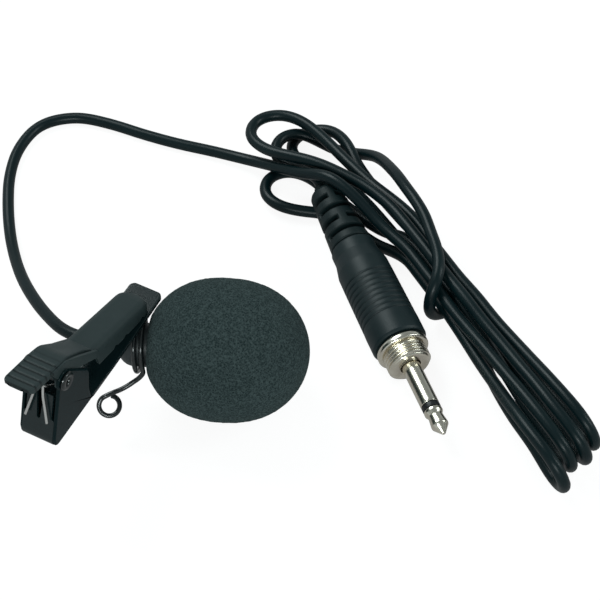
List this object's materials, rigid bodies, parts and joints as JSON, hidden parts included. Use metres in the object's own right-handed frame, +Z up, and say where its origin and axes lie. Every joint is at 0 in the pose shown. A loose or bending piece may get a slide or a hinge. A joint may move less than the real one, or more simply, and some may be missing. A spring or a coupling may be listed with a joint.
{
  "type": "lavalier microphone",
  "caption": "Lavalier microphone with foam windscreen and sprung tie clip on a hanked cord with a locking 3.5 mm plug.",
  "frame": {"origin": "On the table, under the middle of the microphone and its clip.", "axes": "+X the way the microphone points, +Y away from the clip's tail towards the plug's rear, +Z up."},
  "size_m": [0.1187, 0.096, 0.038],
  "materials": {
    "foam": "open cell foam, matt",
    "housing": "satin black",
    "clip": "gloss black enamel",
    "spring": "bright spring steel",
    "wire": "blackened, glossy",
    "cord": "soft satin PVC",
    "boot": "matt moulded",
    "grip": "satin",
    "nickel": "bright nickel plate",
    "insulation": "satin",
    "capsule": "drawn",
    "brass": "tinned",
    "board": "solder mask",
    "rubber": "matt"
  },
  "bodies": {
    "microphone": {"mic_housing": "housing", "cord_grommet": "rubber", "lead_core": "insulation", "capsule_board": "board", "capsule_can": "capsule", "capsule_sleeve": "rubber", "acoustic_mesh": "insulation", "grille_cap": "housing", "mic_lead": "cord", "cord_hank": "cord", "plug_lead": "cord", "strain_relief": "boot", "plug_core": "insulation", "jack_sleeve": "nickel", "jack_insulator": "insulation", "jack_tip": "nickel", "tip_lug": "brass", "sleeve_lug": "brass"},
    "windscreen": {"windscreen": "foam"},
    "clip": {"clip_base": "clip", "clip_pivot": "clip", "clip_spring": "spring", "wire_holder": "wire", "holder_washer": "spring"},
    "lever": {"clip_lever": "clip"},
    "lock": {"plug_grip": "grip", "lock_collar": "nickel"}
  },
  "joints": [
    {"name": "windscreen_pull", "type": "slide", "parent": "microphone", "child": "windscreen", "axis": [1, 0, 0], "range_m": [0, 0.012]},
    {"name": "holder_turn", "type": "hinge", "parent": "microphone", "child": "clip", "pos_m": [-0.0068, 0.0081, 0.013], "axis": [1, 0, 0], "range_deg": [-75, 30]},
    {"name": "jaw_open", "type": "hinge", "parent": "clip", "child": "lever", "pos_m": [-0.01816, -0.01242, 0.0317], "axis": [0.9232, -0.3843, 0], "range_deg": [0, 25], "stiffness_Nm_per_rad": 0.08, "springref_deg": -28.65, "deforming": ["clip_spring"]},
    {"name": "lock_sleeve_turn", "type": "hinge", "parent": "microphone", "child": "lock", "pos_m": [0.0223, 0.0546, 0.006], "axis": [0.4228, -0.9061, -0.0162], "continuous": true}
  ]
}
